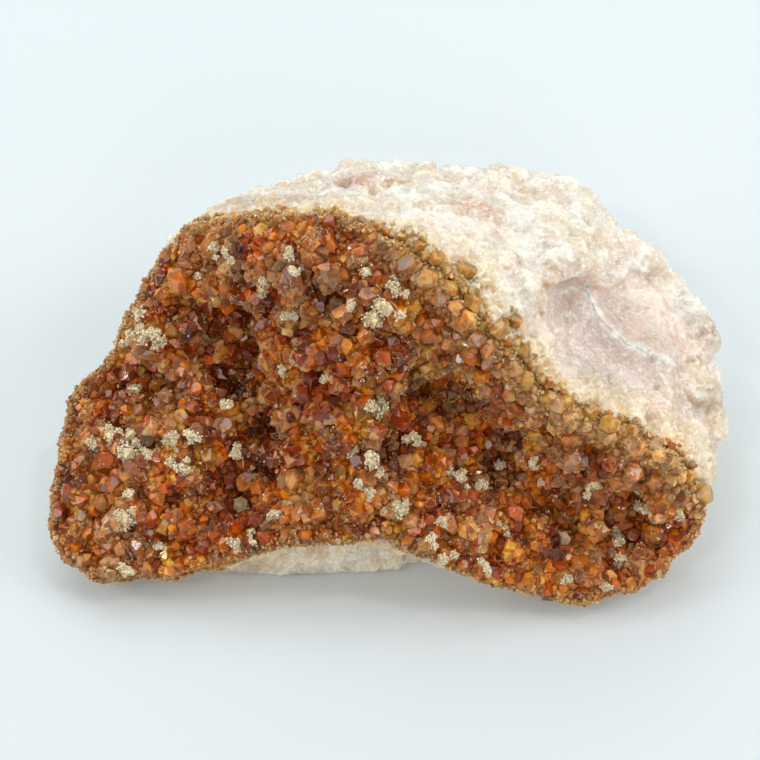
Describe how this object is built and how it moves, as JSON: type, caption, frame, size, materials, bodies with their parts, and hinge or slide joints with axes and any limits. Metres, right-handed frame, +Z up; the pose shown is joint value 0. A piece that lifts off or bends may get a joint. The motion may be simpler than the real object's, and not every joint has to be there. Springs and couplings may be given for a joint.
{
  "type": "citrine cluster",
  "caption": "Citrine cluster: an orange-brown crust of small citrine crystals on a broken mass of milky and rose quartz.",
  "frame": {"origin": "under the middle of the specimen's bounding box, on the resting face", "axes": "+Z up from the resting face; +X to the right along the longest side, seen from the crystal crust; +Y from the crust towards the bare quartz at the back"},
  "size_m": [0.112, 0.0754, 0.0497],
  "materials": {
    "milky quartz": "broken, sugary, translucent",
    "citrine": "glossy crystal faces"
  },
  "bodies": {
    "root": {"quartz_matrix": "milky quartz", "citrine_druse": "citrine"}
  },
  "joints": []
}
